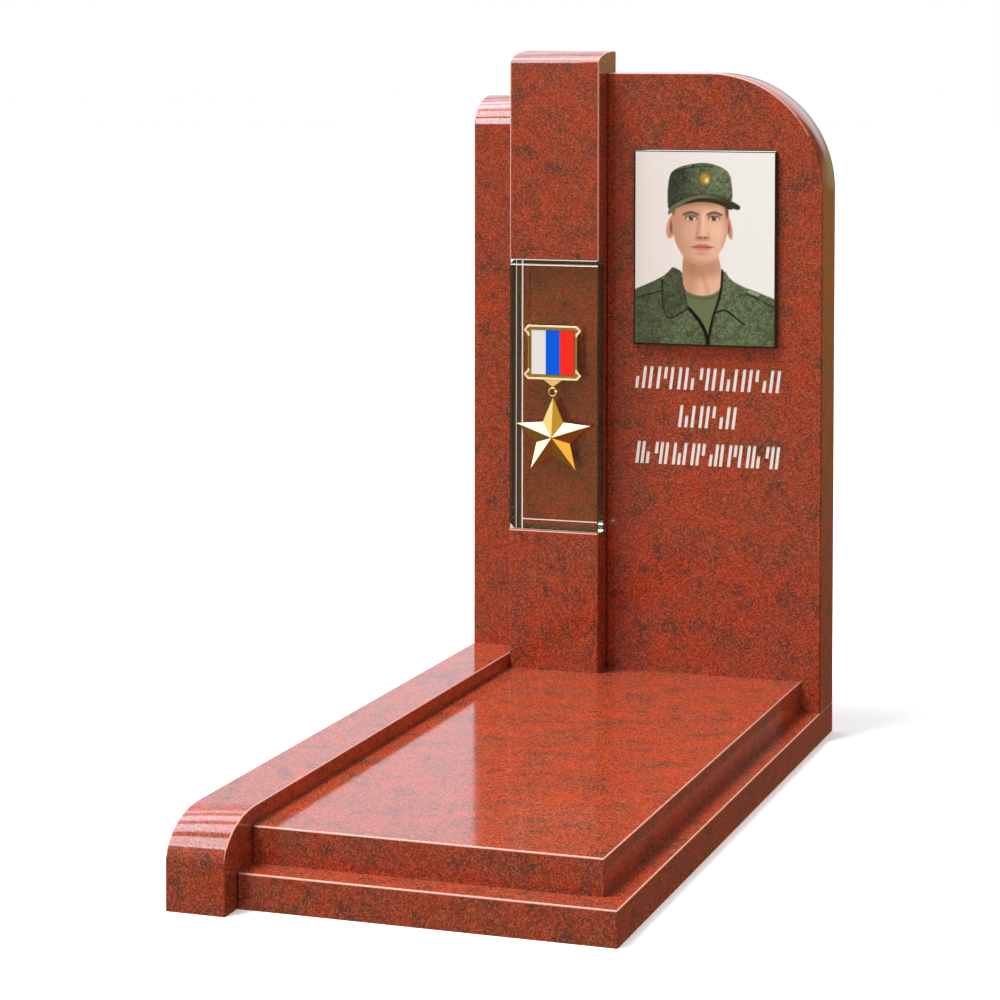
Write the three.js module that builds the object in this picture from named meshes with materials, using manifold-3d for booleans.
// Granite grave monument: a plinth with a cover slab and a side curb, an upright of wing, column
// and panel behind them, a glass block with a star medal in the column, and a portrait plate.
// Millimetres, +Z up, the front faces -Y. The pieces are placed with X = 0 on the joint between
// curb and slab, Y = 0 on the plinth's front and Z = 0 on the ground, and the finished group is
// moved so that its origin is the middle of its footprint.
import * as THREE from 'three';
import { mergeVertices } from 'three/addons/utils/BufferGeometryUtils.js';
import Module from 'manifold-3d';

const wasm = await Module();
wasm.setup();

// Gap between pieces that stand against each other.
const JOINT = 0.3;

// Plinth and cover slab.
const PLINTH_WIDTH = 644;
const PLINTH_LENGTH = 1554;
const PLINTH_HEIGHT = 60;
const SLAB_HEIGHT = 62;
const SLAB_FRONT_SETBACK = 61;
const SLAB_SIDE_SETBACK = 40;

// Side curb, proud of the plinth in front, with an elliptic nose.
const CURB_WIDTH = 105;
const CURB_HEIGHT = 152;
const CURB_FRONT_REACH = 49;
const NOSE_DEPTH = 122;
const NOSE_HEIGHT = 70;

// Upright: a panel on the plinth and a thinner wing on the curb, flush at the back.
const STELE_THICKNESS = 118;
const WING_SETBACK = 18;
const WING_TOP = 1306;
const WING_CROWN_HEIGHT = 60;
const PANEL_TOP = 1355;
const PANEL_CORNER_RADIUS = 238;

// Column between wing and panel, proud of both.
const COLUMN_WIDTH = 192;
const COLUMN_DEPTH = 121;
const COLUMN_PROUD = 61;
const COLUMN_TOP = 1400;
const COLUMN_CROWN_HEIGHT = 25;

// Glass block in the column's front.
const GLASS_BOTTOM = 411;
const GLASS_HEIGHT = 561;
const GLASS_DEPTH = 38;
const GLASS_BEVEL = 2.5;

// Medal on the glass: a clasp frame with a ribbon field, a ring and a star.
const STAR_CENTRE_BELOW_GLASS_TOP = 366.5;
const STAR_RADIUS = 83;
const STAR_NOTCH_RADIUS = 38;
const STAR_EDGE_THICKNESS = 2;
const STAR_RISE_HEIGHT = 12;
const STAR_POINTS = 5;
const RING_OUTER_RADIUS = 10;
const RING_WIRE_RADIUS = 1.8;
const KNOB_RADIUS = 5;
const FRAME_WIDTH = 107;
const FRAME_HEIGHT = 112;
const FRAME_THICKNESS = 8;
const FRAME_RIM = 4;
const FRAME_RIM_RISE = 3;
const LUG_REACH = 9;
const LUG_HEIGHT = 20;
const TAB_WIDTH = 42;
const TAB_HEIGHT = 15;
const RIBBON_WIDTH = 92;
const RIBBON_HEIGHT = 91;
const RIBBON_THICKNESS = 6;

// Portrait plate on the panel.
const PLATE_WIDTH = 300;
const PLATE_HEIGHT = 400;
const PLATE_THICKNESS = 12;
const PLATE_BEVEL = 2;
const PLATE_TOP_BELOW_PANEL_TOP = 157;
const PLATE_CENTRE_FROM_PANEL_EDGE = 242;

// Three rows of engraved strokes under the plate, in groups.
const ROW_GROUPS = [7, 3, 8];
const ROW_LENGTHS = [310, 127, 308];
const ROW_HEIGHT = 48;
const ROW_PITCH = 77.5;
const FIRST_ROW_BELOW_PLATE = 44;
const ROW_CENTRE_FROM_PANEL_EDGE = 238;
const GROUP_GAP = 8.6;
const STROKES_PER_GROUP = 3;
const STROKE_WIDTH = 8.4;
const STROKE_SLANT = 6;
const STROKE_DEPTH = 2;
const SHORT_STROKE_SHARE = 0.56;

// Steps along a quarter of a round form.
const CROWN_STEPS = 12;
const CORNER_STEPS = 16;
const RING_STEPS = 24;
const WIRE_STEPS = 8;

// Planes that the pieces share.
const steleFront = PLINTH_LENGTH - STELE_THICKNESS;
const columnFront = steleFront - COLUMN_PROUD;
const glassTop = GLASS_BOTTOM + GLASS_HEIGHT;
const glassBack = columnFront + GLASS_DEPTH;
const columnBack = columnFront + COLUMN_DEPTH;

// Places of the medal, measured from the glass block that carries it.
const medalX = COLUMN_WIDTH / 2;
const starZ = glassTop - STAR_CENTRE_BELOW_GLASS_TOP;
const ringZ = starZ + STAR_RADIUS + JOINT + RING_OUTER_RADIUS;
const frameBottom = ringZ + RING_OUTER_RADIUS + JOINT + TAB_HEIGHT;
const frameCentreZ = frameBottom + FRAME_HEIGHT / 2;

// Place of the plate and the rows, measured from the panel that carries them.
const plateX = PLINTH_WIDTH - PLATE_CENTRE_FROM_PANEL_EDGE;
const plateTop = PANEL_TOP - PLATE_TOP_BELOW_PANEL_TOP;
const plateZ = plateTop - PLATE_HEIGHT / 2;
const rowX = PLINTH_WIDTH - ROW_CENTRE_FROM_PANEL_EDGE;
const firstRowTop = plateTop - PLATE_HEIGHT - FIRST_ROW_BELOW_PLATE;

const granite = () => new THREE.MeshStandardMaterial({ color: 0x8f2f20, roughness: 0.18 });
const gilt = () => new THREE.MeshStandardMaterial({ color: 0xc9962f, roughness: 0.3, metalness: 1 });
const enamel = () => new THREE.MeshStandardMaterial({ color: 0x1f5fe0, roughness: 0.35 });
const glaze = () => new THREE.MeshStandardMaterial({ color: 0x55604a, roughness: 0.15 });
const clearGlass = () => new THREE.MeshStandardMaterial({
  color: 0xdfeee6, roughness: 0.02, transparent: true, opacity: 0.35,
});

/** Closed mesh with shared corners, turned into a solid for cutting and joining. */
function toSolid(geometry) {
  const bare = geometry.clone();
  bare.deleteAttribute('normal');
  bare.deleteAttribute('uv');
  const merged = mergeVertices(bare, 1e-4);
  return new wasm.Manifold(new wasm.Mesh({
    numProp: 3,
    vertProperties: new Float32Array(merged.attributes.position.array),
    triVerts: new Uint32Array(merged.index.array),
  }));
}

/** Geometry of a solid. */
function toGeometry(solid) {
  const mesh = solid.getMesh();
  const geometry = new THREE.BufferGeometry();
  geometry.setAttribute('position', new THREE.BufferAttribute(mesh.vertProperties, mesh.numProp));
  geometry.setIndex(new THREE.BufferAttribute(mesh.triVerts, 1));
  return geometry;
}

/** Box between two corners. */
function boxBetween([x0, y0, z0], [x1, y1, z1]) {
  const box = new THREE.BoxGeometry(x1 - x0, y1 - y0, z1 - z0);
  return box.translate((x0 + x1) / 2, (y0 + y1) / 2, (z0 + z1) / 2);
}

/** Shape through a list of [u, v] points. */
function shapeOf(points) {
  return new THREE.Shape(points.map(([u, v]) => new THREE.Vector2(u, v)));
}

/** Side profile in (Y, Z) swept from x0 to x1. */
function sweepAcross(profile, x0, x1) {
  const swept = new THREE.ExtrudeGeometry(shapeOf(profile), { depth: x1 - x0, bevelEnabled: false });
  const basis = new THREE.Matrix4().makeBasis(
    new THREE.Vector3(0, 1, 0), new THREE.Vector3(0, 0, 1), new THREE.Vector3(1, 0, 0));
  return swept.applyMatrix4(basis).translate(x0, 0, 0);
}

/** Front view shape in (X, Z) swept towards the back from yFront over depth. */
function sweepBack(shape, yFront, depth, bevel = 0) {
  const swept = new THREE.ExtrudeGeometry(shape, {
    depth: depth - 2 * bevel,
    bevelEnabled: bevel > 0,
    bevelThickness: bevel,
    bevelSize: bevel,
    bevelOffset: -bevel,
    bevelSegments: 1,
  });
  return swept.rotateX(Math.PI / 2).translate(0, yFront + depth - bevel, 0);
}

/** Quarter ellipse from the front face up to the top, as [y, z] points. */
function crownPoints(yFront, zTop, depth, height) {
  return Array.from({ length: CROWN_STEPS + 1 }, (_, step) => {
    const angle = (step / CROWN_STEPS) * (Math.PI / 2);
    return [yFront + depth * (1 - Math.cos(angle)), zTop - height * (1 - Math.sin(angle))];
  });
}

/** Side profile of a block whose top rounds down to its front, over its whole depth or less. */
function crownedProfile({ front, back, bottom, top, crownHeight, crownDepth = back - front }) {
  const profile = [[front, bottom], ...crownPoints(front, top, crownDepth, crownHeight)];
  if (crownDepth < back - front) profile.push([back, top]);
  profile.push([back, bottom]);
  return profile;
}

function makePlinth() {
  return boxBetween([JOINT, 0, 0], [PLINTH_WIDTH, PLINTH_LENGTH, PLINTH_HEIGHT]);
}

/** Cover slab against curb and stele, with a notch that the column's foot stands in. */
function makeCoverSlab() {
  const right = PLINTH_WIDTH - SLAB_SIDE_SETBACK;
  const back = steleFront - JOINT;
  const plan = shapeOf([
    [JOINT, SLAB_FRONT_SETBACK],
    [right, SLAB_FRONT_SETBACK],
    [right, back],
    [COLUMN_WIDTH + JOINT, back],
    [COLUMN_WIDTH + JOINT, columnFront - JOINT],
    [JOINT, columnFront - JOINT],
  ]);
  const slab = new THREE.ExtrudeGeometry(plan, { depth: SLAB_HEIGHT - JOINT, bevelEnabled: false });
  return slab.translate(0, 0, PLINTH_HEIGHT + JOINT);
}

function makeSideCurb() {
  const profile = crownedProfile({
    front: -CURB_FRONT_REACH,
    back: PLINTH_LENGTH,
    bottom: 0,
    top: CURB_HEIGHT,
    crownDepth: NOSE_DEPTH,
    crownHeight: NOSE_HEIGHT,
  });
  return sweepAcross(profile, -CURB_WIDTH, 0);
}

function makeLeftWing() {
  const profile = crownedProfile({
    front: steleFront + WING_SETBACK,
    back: PLINTH_LENGTH,
    bottom: CURB_HEIGHT + JOINT,
    top: WING_TOP,
    crownHeight: WING_CROWN_HEIGHT,
  });
  return sweepAcross(profile, -CURB_WIDTH, 0);
}

/** Slanted stroke in (X, Z) between two heights of a row, leaning with the row's slant. */
function strokeShape(left, rowBottom, low, high) {
  const lean = (z) => (STROKE_SLANT * (z - rowBottom)) / ROW_HEIGHT;
  return shapeOf([
    [left + lean(low), low],
    [left + STROKE_WIDTH + lean(low), low],
    [left + STROKE_WIDTH + lean(high), high],
    [left + lean(high), high],
  ]);
}

/** Shapes of one row: in each group one stroke is short, by turns at the top and at the foot. */
function rowStrokes(row) {
  const top = firstRowTop - row * ROW_PITCH;
  const bottom = top - ROW_HEIGHT;
  const pitch = (ROW_LENGTHS[row] - STROKE_SLANT + GROUP_GAP) / ROW_GROUPS[row];
  const step = (pitch - GROUP_GAP - STROKE_WIDTH) / (STROKES_PER_GROUP - 1);
  const rowLeft = rowX - ROW_LENGTHS[row] / 2;
  const shapes = [];
  for (let group = 0; group < ROW_GROUPS[row]; group += 1) {
    const short = (group + row) % STROKES_PER_GROUP;
    for (let stroke = 0; stroke < STROKES_PER_GROUP; stroke += 1) {
      const cut = stroke === short ? ROW_HEIGHT * (1 - SHORT_STROKE_SHARE) : 0;
      const low = group % 2 ? bottom + cut : bottom;
      const high = group % 2 ? top : top - cut;
      shapes.push(strokeShape(rowLeft + group * pitch + stroke * step, bottom, low, high));
    }
  }
  return shapes;
}

/** Panel with one round upper corner and the rows engraved in its front. */
function makeRightPanel() {
  const left = COLUMN_WIDTH + JOINT;
  const bottom = PLINTH_HEIGHT + JOINT;
  const outline = new THREE.Shape();
  outline.moveTo(left, bottom);
  outline.lineTo(PLINTH_WIDTH, bottom);
  outline.lineTo(PLINTH_WIDTH, PANEL_TOP - PANEL_CORNER_RADIUS);
  outline.absarc(
    PLINTH_WIDTH - PANEL_CORNER_RADIUS, PANEL_TOP - PANEL_CORNER_RADIUS, PANEL_CORNER_RADIUS,
    0, Math.PI / 2, false);
  outline.lineTo(left, PANEL_TOP);
  const points = outline.getPoints(CORNER_STEPS).map(({ x, y }) => [x, y]);
  let panel = toSolid(sweepBack(shapeOf(points), steleFront, STELE_THICKNESS));
  for (let row = 0; row < ROW_GROUPS.length; row += 1) {
    for (const shape of rowStrokes(row)) {
      const groove = sweepBack(shape, steleFront - STROKE_DEPTH, 2 * STROKE_DEPTH);
      panel = panel.subtract(toSolid(groove));
    }
  }
  return toGeometry(panel);
}

function makeColumnFoot() {
  return boxBetween(
    [JOINT, columnFront, PLINTH_HEIGHT + JOINT], [COLUMN_WIDTH, columnBack, GLASS_BOTTOM - JOINT]);
}

function makeColumnBack() {
  return boxBetween(
    [JOINT, glassBack + JOINT, GLASS_BOTTOM], [COLUMN_WIDTH, columnBack, glassTop]);
}

function makeColumnHead() {
  const profile = crownedProfile({
    front: columnFront,
    back: columnBack,
    bottom: glassTop + JOINT,
    top: COLUMN_TOP,
    crownHeight: COLUMN_CROWN_HEIGHT,
  });
  return sweepAcross(profile, JOINT, COLUMN_WIDTH);
}

/** Rectangle in (X, Z) about a centre. */
function rectangle(x, z, width, height) {
  return shapeOf([
    [x - width / 2, z - height / 2],
    [x + width / 2, z - height / 2],
    [x + width / 2, z + height / 2],
    [x - width / 2, z + height / 2],
  ]);
}

function makeGlassBlock() {
  const width = COLUMN_WIDTH - JOINT;
  const shape = rectangle(JOINT + width / 2, (GLASS_BOTTOM + glassTop) / 2, width, GLASS_HEIGHT);
  return sweepBack(shape, columnFront, GLASS_DEPTH, GLASS_BEVEL);
}

/** Outline of the clasp frame with its four lugs, drawn inset from the frame's edge. */
function frameOutline(inset) {
  const halfWidth = FRAME_WIDTH / 2 - inset;
  const halfHeight = FRAME_HEIGHT / 2 - inset;
  const reach = halfWidth + LUG_REACH - inset / 2;
  const lugTip = FRAME_HEIGHT / 2 - LUG_HEIGHT / 2;
  const lugFoot = FRAME_HEIGHT / 2 - LUG_HEIGHT + inset;
  const corner = (sx, sz) => [
    [sx * halfWidth, sz * lugFoot],
    [sx * reach, sz * lugTip],
    [sx * halfWidth, sz * halfHeight],
  ];
  const outline = [
    ...corner(1, -1).reverse(),
    ...corner(1, 1),
    ...corner(-1, 1).reverse(),
    ...corner(-1, -1),
  ];
  return shapeOf(outline.map(([x, z]) => [medalX + x, frameCentreZ + z]));
}

/** Clasp frame: a raised rim round a lower field with a window for the ribbon, and a tab below. */
function makeMedalFrame() {
  const front = columnFront - JOINT - FRAME_THICKNESS;
  const body = toSolid(sweepBack(frameOutline(0), front, FRAME_THICKNESS));
  const field = toSolid(sweepBack(frameOutline(FRAME_RIM), front - FRAME_RIM_RISE, 2 * FRAME_RIM_RISE));
  const window = toSolid(sweepBack(
    rectangle(medalX, frameCentreZ, RIBBON_WIDTH + 2 * JOINT, RIBBON_HEIGHT + 2 * JOINT),
    front - FRAME_THICKNESS, 3 * FRAME_THICKNESS));
  const tabTop = frameBottom + FRAME_RIM;
  const tabSlope = TAB_WIDTH / 2 / TAB_HEIGHT;
  const tab = toSolid(sweepBack(shapeOf([
    [medalX, frameBottom - TAB_HEIGHT],
    [medalX + (tabTop - frameBottom + TAB_HEIGHT) * tabSlope, tabTop],
    [medalX - (tabTop - frameBottom + TAB_HEIGHT) * tabSlope, tabTop],
  ]), front + FRAME_RIM_RISE, FRAME_THICKNESS - FRAME_RIM_RISE));
  return toGeometry(body.subtract(field).subtract(window).add(tab));
}

function makeMedalRibbon() {
  return sweepBack(
    rectangle(medalX, frameCentreZ, RIBBON_WIDTH, RIBBON_HEIGHT),
    columnFront - JOINT - RIBBON_THICKNESS, RIBBON_THICKNESS);
}

/** Suspension ring with a round knob, which rests on the glass. */
function makeMedalRing() {
  const y = columnFront - JOINT - KNOB_RADIUS;
  const radius = RING_OUTER_RADIUS - RING_WIRE_RADIUS;
  const ring = new THREE.TorusGeometry(radius, RING_WIRE_RADIUS, WIRE_STEPS, RING_STEPS);
  const knob = new THREE.SphereGeometry(KNOB_RADIUS, RING_STEPS / 2, WIRE_STEPS);
  ring.rotateX(Math.PI / 2).translate(medalX, y, ringZ);
  knob.translate(medalX + radius, y, ringZ);
  return toGeometry(toSolid(ring).add(toSolid(knob)));
}

/** Star with a ridge along each point, rising from a thin edge to the middle. */
function makeMedalStar() {
  const back = columnFront - JOINT;
  const rim = [];
  for (let corner = 0; corner < 2 * STAR_POINTS; corner += 1) {
    const angle = Math.PI / 2 + (corner * Math.PI) / STAR_POINTS;
    const radius = corner % 2 ? STAR_NOTCH_RADIUS : STAR_RADIUS;
    rim.push([medalX + radius * Math.cos(angle), starZ + radius * Math.sin(angle)]);
  }
  const count = rim.length;
  const position = [
    ...rim.flatMap(([x, z]) => [x, back, z]),
    ...rim.flatMap(([x, z]) => [x, back - STAR_EDGE_THICKNESS, z]),
    medalX, back, starZ,
    medalX, back - STAR_EDGE_THICKNESS - STAR_RISE_HEIGHT, starZ,
  ];
  const backMiddle = 2 * count;
  const peak = backMiddle + 1;
  const index = [];
  for (let here = 0; here < count; here += 1) {
    const next = (here + 1) % count;
    index.push(backMiddle, next, here);
    index.push(here, next, count + next, here, count + next, count + here);
    index.push(peak, count + here, count + next);
  }
  const star = new THREE.BufferGeometry();
  star.setAttribute('position', new THREE.Float32BufferAttribute(position, 3));
  star.setIndex(index);
  return star;
}

function makePortraitPlate() {
  return sweepBack(
    rectangle(plateX, plateZ, PLATE_WIDTH, PLATE_HEIGHT),
    steleFront - JOINT - PLATE_THICKNESS, PLATE_THICKNESS, PLATE_BEVEL);
}

const pieces = [
  ['plinth', makePlinth, granite],
  ['cover_slab', makeCoverSlab, granite],
  ['side_curb', makeSideCurb, granite],
  ['left_wing', makeLeftWing, granite],
  ['right_panel', makeRightPanel, granite],
  ['column_foot', makeColumnFoot, granite],
  ['column_back', makeColumnBack, granite],
  ['column_head', makeColumnHead, granite],
  ['glass_block', makeGlassBlock, clearGlass],
  ['medal_frame', makeMedalFrame, gilt],
  ['medal_ribbon', makeMedalRibbon, enamel],
  ['medal_ring', makeMedalRing, gilt],
  ['medal_star', makeMedalStar, gilt],
  ['portrait_plate', makePortraitPlate, glaze],
];

const monument = new THREE.Group();
for (const [name, makeGeometry, makeMaterial] of pieces) {
  const mesh = new THREE.Mesh(makeGeometry(), makeMaterial());
  mesh.name = name;
  monument.add(mesh);
}
monument.position.set(
  -(PLINTH_WIDTH - CURB_WIDTH) / 2, -(PLINTH_LENGTH - CURB_FRONT_REACH) / 2, 0);

export default monument;
